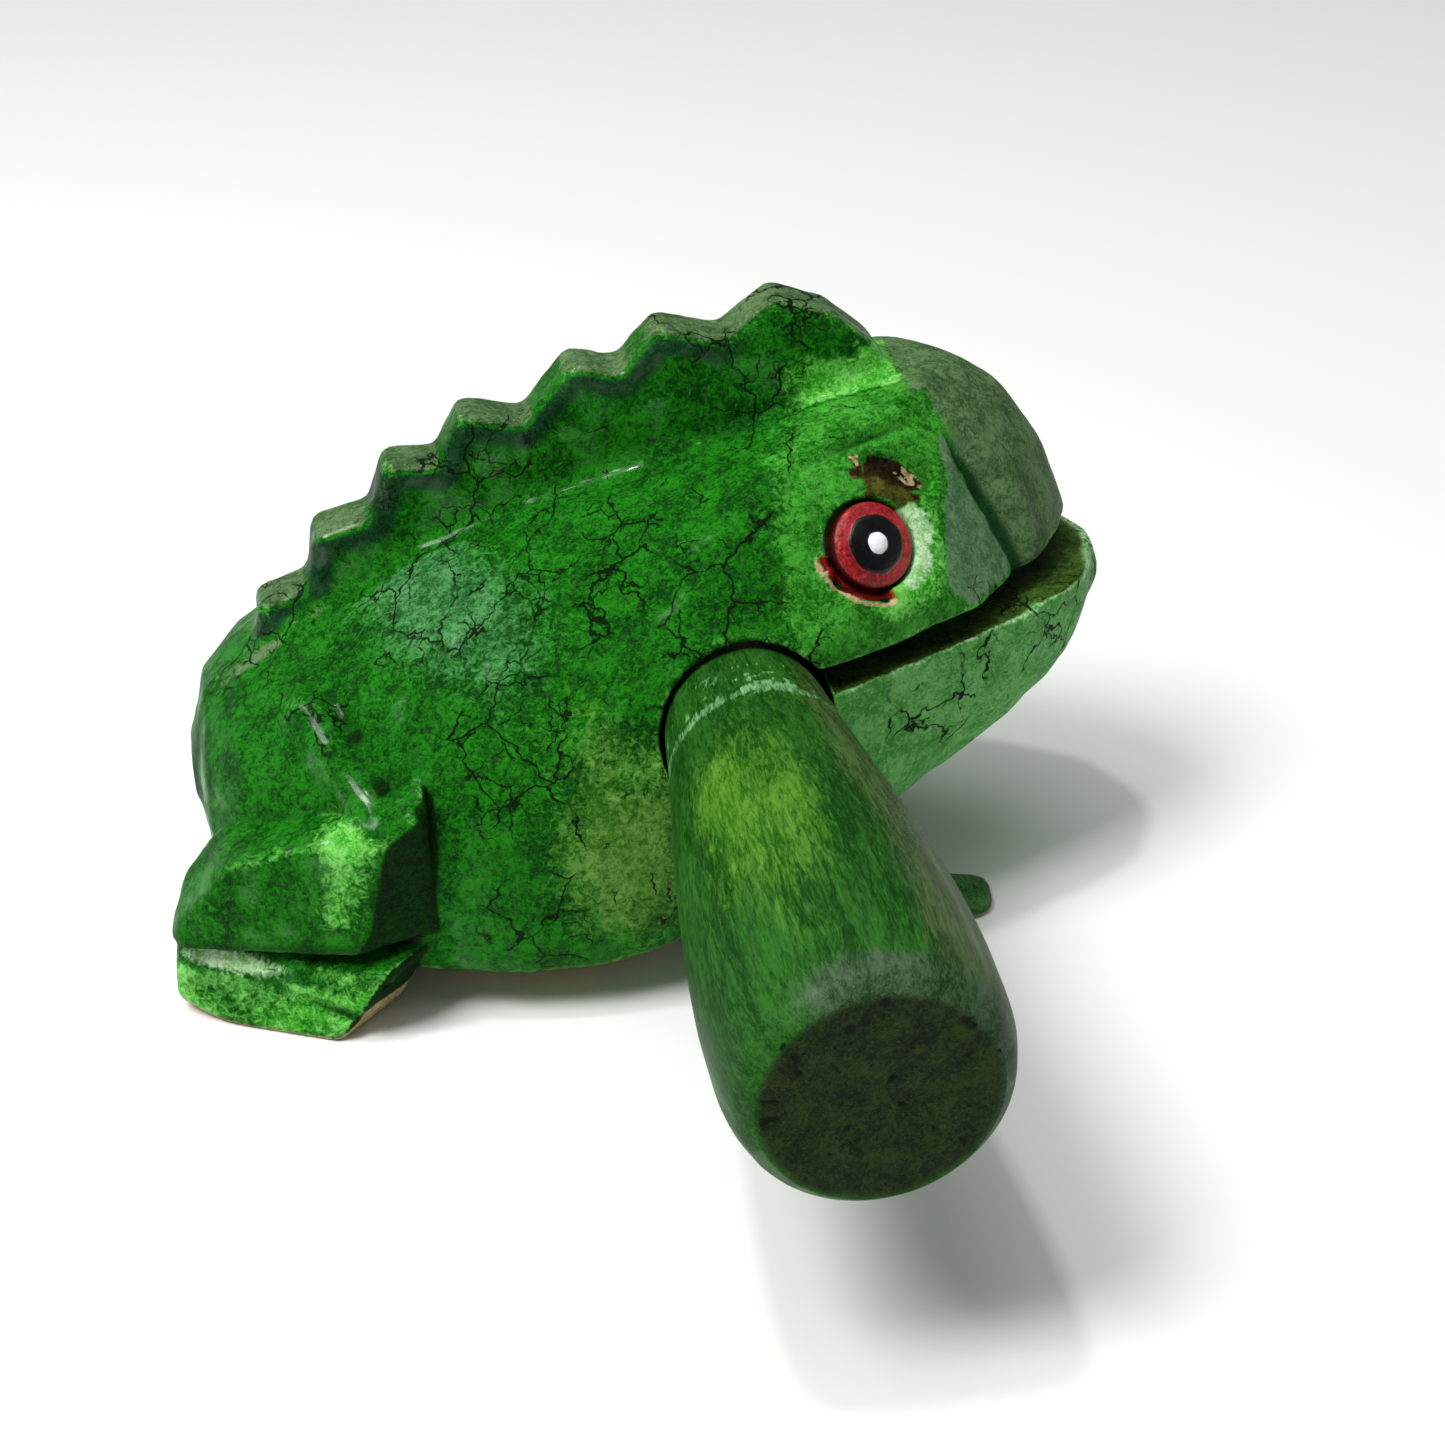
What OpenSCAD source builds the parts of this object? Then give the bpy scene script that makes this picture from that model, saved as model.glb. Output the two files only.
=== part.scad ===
// Carved wooden frog rasp: a squatting frog with a toothed crest along its back
// and a turned striker stored in the hole through its cheeks.
// Millimetres, +Z up. The frog faces +X and its right side is towards -Y.

/* [Frog] */
// Height of the cheek hole's axis above the ground
hole_z = 19.5; // [18.5:0.1:20.5]
// Diameter of the cheek hole
hole_d = 12; // [11.8:0.1:13]
// Half of the width over the cheeks, where the striker's head stands
cheek_y = 17; // [16.5:0.1:17.5]
// Gap between the jaws
mouth_gap = 2.2; // [1.4:0.1:2.6]
// Upward tilt of the mouth towards the lips
mouth_tilt = 7; // [4:0.5:9]

/* [Crest] */
// Thickness of the crest at its teeth
crest_t = 4.4; // [3.6:0.1:5.4]
// Radius that rounds the teeth
tooth_round = 0.6; // [0.3:0.1:0.8]

/* [Eyes] */
// Diameter of an eye button
eye_d = 5.2; // [4.6:0.1:5.6]
// Diameter of the pit that an eye sits in
pit_d = 6.4; // [6:0.1:6.8]
// Depth of the pit below the cheek's skin
pit_deep = 1.5; // [1.2:0.1:1.8]
// Height of an eye button from the pit's floor to its crown
eye_h = 2.1; // [1.8:0.1:2.3]

/* [Striker] */
// Length of the striker's head, outside the cheek
head_l = 36.5; // [30:0.5:40]
// Largest diameter of the head
head_d = 16.2; // [15:0.1:17]
// Diameter of the thin handle
handle_d = 8; // [6:0.2:9]
// Length from the cheek to the handle's end
handle_l = 54; // [48:0.5:58]
// How far the striker lies below the hole's axis
striker_drop = 0.3; // [0:0.05:0.35]

/* [Hidden] */

// The body's sections from tail to lower lip, with x from the hole's axis:
// [x, half width, top, bottom, height of the widest line, upper and lower roundness]
STATIONS = [
    [-35.2, 2.5, 13, 8, 10.5, 2, 2.2],
    [-34.2, 7.8, 16.8, 4.8, 10.5, 2, 2.5],
    [-31.8, 11.8, 19.4, 3.2, 10, 2, 3],
    [-28, 14.8, 22, 2.2, 9, 2, 4],
    [-21, 17.3, 26.2, 1.7, 8.5, 2, 5],
    [-13, 18.7, 29.6, 1.4, 9, 2, 5],
    [-6, 18.4, 31.8, 1.4, 12, 2.1, 4.8],
    [0, 17.1, 33.4, 2.6, 17.5, 2.3, 4],
    [5, 15.8, 34.8, 4.8, 20, 2.3, 3.8],
    [10, 13.9, 36.3, 6.8, 21.5, 2.2, 3.6],
    [15, 11.9, 37, 9.4, 22.5, 2.2, 3.4],
    [19.5, 9.8, 35.2, 11.8, 23, 2.2, 3.2],
    [22.8, 7.6, 30.8, 13.9, 22.8, 2.1, 2.8],
    [24.8, 5.7, 25.6, 15.6, 22.4, 2, 2.4],
    [26.9, 2.2, 22.8, 18.6, 21.4, 2, 2],
];
ring_steps = 3;
ring_sides = 40;

// Crest: the notch behind each tooth and the tooth's crown, tail to head, [x, z]
NOTCHES = [[-35.1, 9.5], [-34.3, 14.4], [-30.1, 20], [-26.7, 24.2], [-22.3, 28.8],
    [-17.7, 32.2], [-12, 34.7], [-5.8, 37.7], [1, 39.5]];
CROWNS = [[-34.9, 13.2], [-33.5, 17.6], [-30.2, 22.9], [-26, 27.8], [-21.2, 32.4],
    [-16.1, 35.5], [-8.9, 38.5], [-3.3, 40.6], [4.2, 42.2]];
CREST_NOSE = [[8, 41], [10.8, 38.7], [12.4, 36.4], [12.4, 34]];
CREST_ROOT = [[0, 29], [-16, 24], [-28, 17], [-32, 9.5]];

// Right eye: where its axis meets the cheek's skin, its turn to the front and its tilt up
eye_at = [8.9, -12, 29.3];
eye_turn = 20;
eye_tilt = 34;

head_reach = cheek_y + head_l;
handle_reach = handle_l - cheek_y;
// Height of the mouth's middle over the hole's axis, at the hole
mouth_up = 1.3;
// How much further forward the left hind leg is carved than the right one
left_leg_shift = 1.7;
heel_x = -37.3;
lip_x = 26.9;
origin_x = (heel_x + lip_x) / 2;
origin_y = (handle_reach - head_reach) / 2;

function curve(a, b, c, d, t) = 0.5 * (2 * b + (c - a) * t
    + (2 * a - 5 * b + 4 * c - d) * t * t + (3 * b - a - 3 * c + d) * t * t * t);
function station(i) = STATIONS[max(0, min(len(STATIONS) - 1, i))];
function section(u) = let (i = min(floor(u), len(STATIONS) - 2))
    curve(station(i - 1), station(i), station(i + 1), station(i + 2), u - i);
function bulge(v, n) = sign(v) * pow(abs(v), 2 / n);
function ring(s) = [for (k = [0:ring_sides - 1]) let (
    a = 360 * k / ring_sides,
    up = sin(a) >= 0,
    n = up ? s[5] : s[6],
    reach = up ? s[2] - s[4] : s[4] - s[3])
    [s[0], s[1] * bulge(cos(a), n), s[4] + reach * bulge(sin(a), n)]];

// One closed skin through all the sections
module trunk() {
    rings = (len(STATIONS) - 1) * ring_steps;
    points = [for (i = [0:rings]) each ring(section(i / ring_steps))];
    last = rings * ring_sides;
    sides = [for (i = [0:rings - 1]) for (k = [0:ring_sides - 1]) let (
        a = i * ring_sides + k,
        b = i * ring_sides + (k + 1) % ring_sides)
        each [[a, a + ring_sides, b], [b, a + ring_sides, b + ring_sides]]];
    tail = [[for (k = [0:ring_sides - 1]) k]];
    lip = [[for (k = [0:ring_sides - 1]) last + ring_sides - 1 - k]];
    polyhedron(points = points, faces = concat(tail, sides, lip));
}

// Saw-tooth crest in the frog's middle plane
module crest() {
    teeth = [for (i = [0:len(NOTCHES) - 1]) each [NOTCHES[i], CROWNS[i]]];
    rotate([90, 0, 0])
        linear_extrude(height = crest_t, center = true)
            offset(r = tooth_round, $fn = 24)
                offset(delta = -tooth_round)
                    polygon(concat(teeth, CREST_NOSE, CREST_ROOT));
}

// A limb's bar with ball ends, cut in flats as a knife leaves it
module bar(from, to, r) {
    run = to - from;
    translate(from) {
        sphere(r = r, $fn = 12);
        rotate([0, acos(run[2] / norm(run)), atan2(run[1], run[0])])
            cylinder(r = r, h = norm(run), $fn = 12);
    }
    translate(to)
        sphere(r = r, $fn = 12);
}

// Shin from heel to knee, on the right side
module shin() {
    hull() {
        translate([-35.6, -13.8, 6.5])
            sphere(r = 1.6, $fn = 24);
        translate([-31.4, -14, 6])
            cylinder(r = 2.4, h = 6.6, $fn = 32);
        translate([-24.6, -16.6, 6.8])
            cylinder(r = 2.6, h = 7.9, $fn = 32);
        translate([-22, -18.4, 6.6])
            cube([1.9, 6, 9.6]);
    }
}

// Rear foot, splayed outwards, flat on the ground
module rear_foot() {
    hull() {
        translate([-35, -12.6, 0])
            cylinder(r = 2.3, h = 4.4, $fn = 32);
        translate([-25.6, -16, 0])
            cylinder(r = 2.8, h = 5.8, $fn = 32);
        translate([-22.4, -16.6, 2.6])
            cube([2.4, 6, 3.2]);
    }
}

// Front leg from the chest down to the toes
module front_leg() {
    bar([5, -10, 10], [8.5, -10.5, 3], 3);
    hull() {
        translate([8.5, -10.5, 0])
            cylinder(r = 3, h = 3.4, $fn = 32);
        translate([16.2, -12.2, 0])
            cylinder(r = 2.4, h = 2.2, $fn = 32);
    }
}

module hind_leg() {
    shin();
    rear_foot();
    bar([-26, -8.6, 16.8], [-22.8, -15, 13.8], 2.7);
}

// A tool or button set square on the right eye's place
module at_eye() {
    translate(eye_at)
        rotate([90 - eye_tilt, 0, eye_turn])
            children();
}

module both_sides() {
    children();
    mirror([0, 1, 0])
        children();
}

// Moves the frog from the hole's axis and middle plane to the row's origin
module seat() {
    translate([-origin_x, -origin_y, 0])
        children();
}

// Cheek hole and the sawn mouth that runs out of it
module mouth() {
    translate([0, 0, hole_z]) {
        rotate([90, 0, 0])
            cylinder(d = hole_d, h = 60, center = true, $fn = 96);
        rotate([0, -mouth_tilt, 0])
            translate([0, -30, mouth_up - mouth_gap / 2])
                cube([45, 60, mouth_gap]);
    }
}

module frog_body() {
    color("forestgreen")
        seat()
            difference() {
                union() {
                    trunk();
                    crest();
                    hind_leg();
                    translate([left_leg_shift, 0, 0])
                        mirror([0, 1, 0])
                            hind_leg();
                    both_sides()
                        front_leg();
                }
                mouth();
                both_sides()
                    at_eye()
                        translate([0, 0, -pit_deep])
                            cylinder(d = pit_d, h = 6, $fn = 64);
            }
}

// Domed button on the pit's floor
module eye_button() {
    rim_h = 1.2;
    crown = eye_h - rim_h;
    dome_r = (pow(eye_d / 2, 2) + pow(crown, 2)) / (2 * crown);
    translate([0, 0, -pit_deep])
        intersection() {
            cylinder(d = eye_d, h = eye_h, $fn = 64);
            translate([0, 0, eye_h - dome_r])
                sphere(r = dome_r, $fn = 96);
        }
}

module eye_right() {
    color("firebrick")
        seat()
            at_eye()
                eye_button();
}

module eye_left() {
    color("firebrick")
        seat()
            mirror([0, 1, 0])
                at_eye()
                    eye_button();
}

// Striker, turned about its own length: [distance outside the cheek, radius]
module striker() {
    handle_r = handle_d / 2;
    head_r = head_d / 2;
    handle = [[-handle_l, 0], [-handle_l, handle_r - 1.1], [0.6 - handle_l, handle_r - 0.5],
        [2 - handle_l, handle_r - 0.2], [-5.5, handle_r]];
    shoulder = [[-4.6, 4.2], [-3.4, 4.8], [-2, 5.2], [0, 5.45], [3, 5.75], [5.5, 6]];
    swell = [for (t = [8.5:4:head_l - 5.5])
        [t, 6 + (head_r - 6) * sin(90 * (t - 5.5) / (head_l - 11))]];
    rim = [[head_l - 2.6, head_r - 0.25], [head_l - 1, head_r - 0.8], [head_l, head_r - 1.6], [head_l, 0]];
    color("seagreen")
        seat()
            translate([0, -cheek_y, hole_z - striker_drop])
                rotate([90, 0, 0])
                    rotate_extrude($fn = 96)
                        polygon([for (p = concat(handle, shoulder, swell, rim)) [p[1], p[0]]]);
}

frog_body();
eye_right();
eye_left();
striker();
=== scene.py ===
"""Carved wooden frog rasp with its stored striker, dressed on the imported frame.

The frog's skin is carved from a block of signed distances, the way a knife works on wood: a
trunk is laid down, flats and notches are cut, and crest and legs are left standing. Lengths are
millimetres on the frog's own axes: x forward from the cheek hole, y from the middle plane to the
frog's left, z up from the ground. They turn into the frame's metres when a mesh is made.
"""
import logging
import math
from collections.abc import Callable, Sequence
from dataclasses import dataclass, field
from enum import Enum
from functools import partial
from itertools import combinations, pairwise

import bpy
import numpy as np
from mathutils import Matrix, Vector


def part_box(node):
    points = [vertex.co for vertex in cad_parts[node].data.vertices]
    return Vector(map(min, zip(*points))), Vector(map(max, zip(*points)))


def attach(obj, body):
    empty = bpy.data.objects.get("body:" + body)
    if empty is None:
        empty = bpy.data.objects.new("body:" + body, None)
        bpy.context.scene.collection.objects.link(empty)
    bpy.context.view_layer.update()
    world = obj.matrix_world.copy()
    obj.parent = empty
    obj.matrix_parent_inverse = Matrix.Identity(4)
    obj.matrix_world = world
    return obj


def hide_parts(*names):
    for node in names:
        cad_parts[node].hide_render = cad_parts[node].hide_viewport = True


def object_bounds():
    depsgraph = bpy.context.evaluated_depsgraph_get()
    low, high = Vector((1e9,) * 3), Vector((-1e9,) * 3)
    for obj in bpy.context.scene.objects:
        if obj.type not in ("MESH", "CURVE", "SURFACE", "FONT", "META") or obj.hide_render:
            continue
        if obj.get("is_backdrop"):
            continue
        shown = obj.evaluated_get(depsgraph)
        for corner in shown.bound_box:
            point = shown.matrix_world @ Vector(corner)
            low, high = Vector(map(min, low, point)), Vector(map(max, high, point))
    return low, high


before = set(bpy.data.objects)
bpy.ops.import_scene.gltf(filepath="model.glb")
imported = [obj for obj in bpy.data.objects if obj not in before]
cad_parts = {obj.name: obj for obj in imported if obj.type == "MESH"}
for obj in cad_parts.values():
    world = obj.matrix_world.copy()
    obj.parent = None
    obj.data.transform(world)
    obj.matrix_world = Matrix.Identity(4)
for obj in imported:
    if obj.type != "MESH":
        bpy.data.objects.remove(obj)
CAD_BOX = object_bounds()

logging.basicConfig(level=logging.INFO, format="%(message)s")
LOG = logging.getLogger("frog_rasp")

Array = np.ndarray
Point = tuple[float, float, float]
Form = Callable[[Array, Array, Array], Array]
Inputs = dict[str | int, object]
Tree = bpy.types.NodeTree
Socket = bpy.types.NodeSocket
Object = bpy.types.Object

MM = 0.001


class Side(Enum):
    """A side of the frog, as the sign of y."""

    RIGHT = -1
    LEFT = 1


# ---- numbers and forms


def middle(node: str, axis: int) -> float:
    """Middle of a CAD node's box along one axis, in millimetres."""
    low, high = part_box(node)
    return (low[axis] + high[axis]) / 2 / MM


def smooth_min(a: Array, b: Array, blend: float) -> Array:
    """Smaller of two distances, with a fillet of about the blend's size where they meet."""
    if blend <= 0:
        return np.minimum(a, b)
    share = np.clip(0.5 + 0.5 * (b - a) / blend, 0, 1)
    return b + (a - b) * share - blend * share * (1 - share)


def smooth_max(a: Array, b: Array, blend: float) -> Array:
    """Larger of two distances, with a rounded edge of about the blend's size."""
    return -smooth_min(-a, -b, blend)


def ease(value: Array, start: float, end: float) -> Array:
    """Smooth step from 0 at start to 1 at end; start may be the larger of the two."""
    share = np.clip((value - start) / (end - start), 0, 1)
    return share * share * (3 - 2 * share)


def unit(vector: Sequence[float]) -> Array:
    """Vector of length 1 in the same direction."""
    array = np.array(vector, float)
    return array / np.linalg.norm(array)


def rod(start: Point, end: Point, radius: float, end_radius: float) -> Form:
    """Round bar with ball ends that tapers from one radius to the other."""
    run = np.array(end) - np.array(start)

    def form(x: Array, y: Array, z: Array) -> Array:
        """Distance to the bar."""
        dx, dy, dz = x - start[0], y - start[1], z - start[2]
        along = np.clip((dx * run[0] + dy * run[1] + dz * run[2]) / (run @ run), 0, 1)
        gap = (dx - along * run[0]) ** 2 + (dy - along * run[1]) ** 2 + (dz - along * run[2]) ** 2
        return np.sqrt(gap) - radius - (end_radius - radius) * along

    return form


def ball(centre: Point, radius: float) -> Form:
    """Sphere."""
    a, b, c = centre
    return lambda x, y, z: np.sqrt((x - a) ** 2 + (y - b) ** 2 + (z - c) ** 2) - radius


def flat(normal: Sequence[float], point: Point) -> Form:
    """Everything behind a plane through the point, whose normal looks out of the material."""
    n = unit(normal)
    return lambda x, y, z: (x - point[0]) * n[0] + (y - point[1]) * n[1] + (z - point[2]) * n[2]


def block(faces: Sequence[tuple[Sequence[float], Point]], edge: float) -> Form:
    """Block bounded by planes.

    Args:
        faces: each plane's outward normal and a point on it.
        edge: size of the rounding along the block's edges.

    Returns:
        The block's distance function.
    """
    planes = [flat(normal, point) for normal, point in faces]

    def form(x: Array, y: Array, z: Array) -> Array:
        """Distance to the block."""
        result = planes[0](x, y, z)
        for plane in planes[1:]:
            result = smooth_max(result, plane(x, y, z), edge)
        return result

    return form


def drill(point: Point, axis: Sequence[float], radius: float, depth: float) -> Form:
    """Round hole that starts at the point's level and goes depth deep, open outwards."""
    n = unit(axis)

    def form(x: Array, y: Array, z: Array) -> Array:
        """Distance to the hole's space."""
        dx, dy, dz = x - point[0], y - point[1], z - point[2]
        out = dx * n[0] + dy * n[1] + dz * n[2]
        across = np.sqrt(np.maximum(dx**2 + dy**2 + dz**2 - out**2, 0))
        return np.maximum(across - radius, -depth - out)

    return form


def mirrored(form: Form) -> Form:
    """The right side's form on both sides of the middle plane."""
    return lambda x, y, z: form(x, -np.abs(y), z)


def placed(form: Form, side: Side, forward: float) -> Form:
    """The right side's form on a chosen side, moved forward."""
    turn = -side.value
    return lambda x, y, z: form(x - forward, y * turn, z)


def outline_distance(x: Array, z: Array, points: Sequence[tuple[float, float]]) -> Array:
    """Signed distance to a closed outline in the x-z plane, negative inside it."""
    nearest = np.full(np.broadcast(x, z).shape, 1e6, np.float32)
    sign = np.ones_like(nearest)
    previous = points[-1]
    for here in points:
        ex, ez = previous[0] - here[0], previous[1] - here[1]
        wx, wz = x - here[0], z - here[1]
        along = np.clip((wx * ex + wz * ez) / (ex * ex + ez * ez), 0, 1)
        nearest = np.minimum(nearest, (wx - ex * along) ** 2 + (wz - ez * along) ** 2)
        above, below, left = z >= here[1], z < previous[1], ex * wz > ez * wx
        flip = (above & below & left) | ~(above | below | left)
        sign = np.where(flip, -sign, sign)
        previous = here
    return sign * np.sqrt(nearest)


def soften(values: Array, axis: int, width: float) -> Array:
    """Blurs a grid of values along one axis; the width is in cells."""
    reach = max(1, round(2 * width))
    kernel = np.exp(-((np.arange(-reach, reach + 1) / width) ** 2))
    pads = [(reach, reach) if a == axis else (0, 0) for a in range(values.ndim)]
    padded = np.pad(values, pads, mode="edge")
    length = values.shape[axis]
    shares = enumerate(kernel / kernel.sum())
    return sum(np.take(padded, range(i, i + length), axis) * share for i, share in shares)


# ---- random detail, all seeded


def shuffle(cell: Array, seed: int) -> Array:
    """A number from 0 to 1 for each whole-number cell, the same on every run."""
    key = cell.astype(np.int64).astype(np.uint32)
    mixed = key[..., 0] * np.uint32(374761393) + key[..., 1] * np.uint32(668265263)
    mixed = mixed + key[..., 2] * np.uint32(2246822519) + np.uint32(seed * 3266489917 % 2**32)
    mixed = (mixed ^ (mixed >> np.uint32(13))) * np.uint32(1274126177)
    mixed = (mixed ^ (mixed >> np.uint32(16))) * np.uint32(2654435769)
    return (mixed ^ (mixed >> np.uint32(15))).astype(np.float64) / 2**32


def mix_corners(cell: Array, part: Array, value: Callable[[Array], Array]) -> Array:
    """Mixes the values at each cell's eight corners by the place in the cell."""
    total = np.zeros(len(cell))
    for corner in np.ndindex(2, 2, 2):
        total += np.prod(np.where(corner, part, 1 - part), axis=1) * value(cell + corner)
    return total


def noise(points: Array, size: float, seed: int) -> Array:
    """Smooth noise from -1 to 1 whose bumps are about size wide."""
    scaled = points / size
    cell = np.floor(scaled)
    part = scaled - cell
    part = part * part * (3 - 2 * part)
    return mix_corners(cell, part, lambda corner: shuffle(corner, seed)) * 2 - 1


def rough(points: Array, size: float, seed: int) -> Array:
    """Noise with two finer octaves on it, about -1 to 1."""
    fine = noise(points, size / 2.1, seed + 1) * 0.5 + noise(points, size / 4.3, seed + 2) * 0.25
    return (noise(points, size, seed) + fine) / 1.4


# ---- the block that is carved


@dataclass
class Clay:
    """Block of voxels holding the distance to a carved skin, negative inside the wood."""

    low: Point
    high: Point
    pitch: float
    field: Array = field(init=False)

    def __post_init__(self) -> None:
        """Makes an empty block."""
        spans = [np.arange(a, b, self.pitch, dtype=np.float32) for a, b in zip(self.low, self.high)]
        self.axes = spans
        self.field = np.full([len(s) for s in spans], 9.0, np.float32)

    def window(self, *corners: Point) -> tuple[slice, ...]:
        """Part of the block between two corners, or the whole of it if none are given."""
        if not corners:
            return (slice(None),) * 3
        low, high = ((np.array(c) - self.low) / self.pitch for c in corners)
        return tuple(slice(max(0, int(a)), max(0, int(b) + 2)) for a, b in zip(low, high))

    def measure(self, form: Form, part: tuple[slice, ...]) -> Array:
        """A form's distances in one part of the block."""
        x, y, z = (axis[span] for axis, span in zip(self.axes, part))
        return form(x[:, None, None], y[None, :, None], z[None, None, :]).astype(np.float32)

    def add(self, form: Form, blend: float = 0, *corners: Point) -> None:
        """Leaves a form standing, with a fillet where it meets the rest."""
        part = self.window(*corners)
        self.field[part] = smooth_min(self.field[part], self.measure(form, part), blend)

    def cut(self, form: Form, blend: float = 0, *corners: Point) -> None:
        """Takes a form away, with a rounded edge."""
        part = self.window(*corners)
        self.field[part] = smooth_max(self.field[part], -self.measure(form, part), blend)

    def even_out(self) -> None:
        """Divides by the slope, so that the numbers near the skin are true distances again."""
        slope = np.zeros_like(self.field)
        for axis in range(3):
            slope += np.gradient(self.field, self.pitch, axis=axis) ** 2
        self.field /= np.clip(np.sqrt(slope), 0.25, 6)

    def sample(self, points: Array) -> Array:
        """Distances at any points, by straight-line mixing between voxels."""
        scaled = (points - np.array(self.low)) / self.pitch
        limit = np.array(self.field.shape) - 2
        cell = np.clip(np.floor(scaled).astype(int), 0, limit)
        part = np.clip(scaled - cell, 0, 1)
        return mix_corners(cell, part, lambda corner: self.field[tuple(corner.T)])

    def normals(self, points: Array, reach: float) -> Array:
        """Directions out of the skin, measured over a short reach."""
        steps = reach * np.eye(3)
        slopes = [self.sample(points + step) - self.sample(points - step) for step in steps]
        found = np.stack(slopes, axis=1)
        return found / np.maximum(np.linalg.norm(found, axis=1, keepdims=True), 1e-9)

    def sharpness(self, points: Array, reach: float) -> Array:
        """How far the skin bends at each point: positive on edges, negative in corners."""
        steps = reach * np.concatenate([np.eye(3), -np.eye(3)])
        around = sum(self.sample(points + step) for step in steps)
        return (around - 6 * self.sample(points)) / reach

    def skin(self) -> tuple[Array, Array]:
        """Closed mesh of the carved skin, by surface nets.

        Returns:
            The vertices, and the four-sided faces as rows of vertex numbers.
        """
        for axis in range(3):
            for end in (0, -1):
                border = np.moveaxis(self.field, axis, 0)[end]
                np.maximum(border, self.pitch, out=border)
        inside = self.field < 0
        spans = [n - 1 for n in inside.shape]
        corners = np.array(list(np.ndindex(2, 2, 2)))
        count = np.zeros(spans, np.uint8)
        for a, b, c in corners:
            count += inside[a : a + spans[0], b : b + spans[1], c : c + spans[2]]
        active = (count > 0) & (count < 8)
        cells = np.argwhere(active)
        number = np.full(active.shape, -1, np.int64)
        number[active] = np.arange(len(cells))
        at = cells[:, None, :] + corners[None]
        values = self.field[at[..., 0], at[..., 1], at[..., 2]]
        total, hits = np.zeros((len(cells), 3)), np.zeros(len(cells))
        for a, b in combinations(range(8), 2):
            step = corners[b] - corners[a]
            if np.abs(step).sum() == 1:
                crossed = (values[:, a] < 0) != (values[:, b] < 0)
                share = values[:, a] / np.where(crossed, values[:, a] - values[:, b], 1)
                total += np.where(crossed[:, None], corners[a] + share[:, None] * step, 0)
                hits += crossed
        points = np.array(self.low) + (cells + total / hits[:, None]) * self.pitch
        faces = []
        for axis in range(3):
            layers = np.moveaxis(inside, axis, 0)
            upper = np.moveaxis(layers[1:], 0, axis)
            edge = np.argwhere(np.moveaxis(layers[:-1], 0, axis) != upper)
            reversed_face = upper[tuple(edge.T)]
            ring = []
            for pair in ((-1, -1), (0, -1), (0, 0), (-1, 0)):
                cell = edge.copy()
                cell[:, [(axis + 1) % 3, (axis + 2) % 3]] += pair
                ring.append(number[tuple(cell.T)])
            quads = np.stack(ring, axis=1)
            quads[reversed_face] = quads[reversed_face][:, ::-1]
            faces.append(quads)
        return points, np.concatenate(faces)


# ---- meshes


def put(name: str, data: bpy.types.ID) -> Object:
    """New object in the scene, from a mesh, a light or a camera."""
    made = bpy.data.objects.new(name, data)
    bpy.context.scene.collection.objects.link(made)
    return made


def make_piece(name: str, points: Array, faces: Array | list, place: Point) -> Object:
    """New smooth-shaded object from points in the frog's millimetres.

    Args:
        name: the piece's name.
        points: its vertices.
        faces: its faces, as rows of vertex numbers.
        place: where the frog's own origin stands in the frame, in millimetres.

    Returns:
        The object, in the scene.
    """
    mesh = bpy.data.meshes.new(name)
    rows = [list(map(int, face)) for face in faces]
    mesh.from_pydata(((points + np.array(place)) * MM).tolist(), [], rows)
    mesh.polygons.foreach_set("use_smooth", [True] * len(mesh.polygons))
    mesh.update()
    return put(name, mesh)


def lathe(profile: Sequence[tuple[float, float]], sides: int) -> tuple[Array, list[list[int]]]:
    """Turned form about the z axis, closed at both ends by a point on the axis.

    Args:
        profile: radius and height from the lower end to the upper end; both ends have radius 0.
        sides: number of points round.

    Returns:
        Vertices and faces.
    """
    turn = np.linspace(0, 2 * np.pi, sides, endpoint=False)
    points = [[0, 0, profile[0][1]]]
    circle = np.stack([np.cos(turn), np.sin(turn), np.zeros(sides)], axis=1)
    for radius, height in profile[1:-1]:
        points.extend((radius * circle + [0, 0, height]).tolist())
    points.append([0, 0, profile[-1][1]])
    rings, last = len(profile) - 2, len(points) - 1
    faces = []
    for k in range(sides):
        following = (k + 1) % sides
        faces.append([0, 1 + following, 1 + k])
        for r in range(rings - 1):
            low = 1 + r * sides
            faces.append([low + k, low + following, low + sides + following, low + sides + k])
        top = 1 + (rings - 1) * sides
        faces.append([top + k, top + following, last])
    return np.array(points), faces


# ---- finishes


def linear(hex_code: str) -> tuple[float, float, float, float]:
    """An sRGB hex colour as linear light."""
    parts = [int(hex_code[i : i + 2], 16) / 255 for i in (0, 2, 4)]
    lit = [p / 12.92 if p <= 0.04045 else ((p + 0.055) / 1.055) ** 2.4 for p in parts]
    return (lit[0], lit[1], lit[2], 1.0)


def add_node(
    tree: Tree, kind: str, inputs: Inputs, out: str | int = 0, **settings: object
) -> Socket | None:
    """Adds a shader node.

    Args:
        tree: the material's node tree.
        kind: the node's type name, without "ShaderNode".
        inputs: a value, or another node's output, for each input's name or number.
        out: name or number of the output that is wanted.
        settings: the node's own settings.

    Returns:
        The wanted output, or None if the node has no outputs.
    """
    made = tree.nodes.new("ShaderNode" + kind)
    for name, value in settings.items():
        setattr(made, name, value)
    for key, value in inputs.items():
        if isinstance(value, Socket):
            tree.links.new(value, made.inputs[key])
        else:
            made.inputs[key].default_value = value
    return made.outputs[out] if made.outputs else None


@dataclass(frozen=True)
class Tone:
    """A colour, brushed paint or painted light and shade, from its dark streaks to its light ones,
    and where it lies.
    """

    zone: str
    dark: str
    light: str


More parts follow.
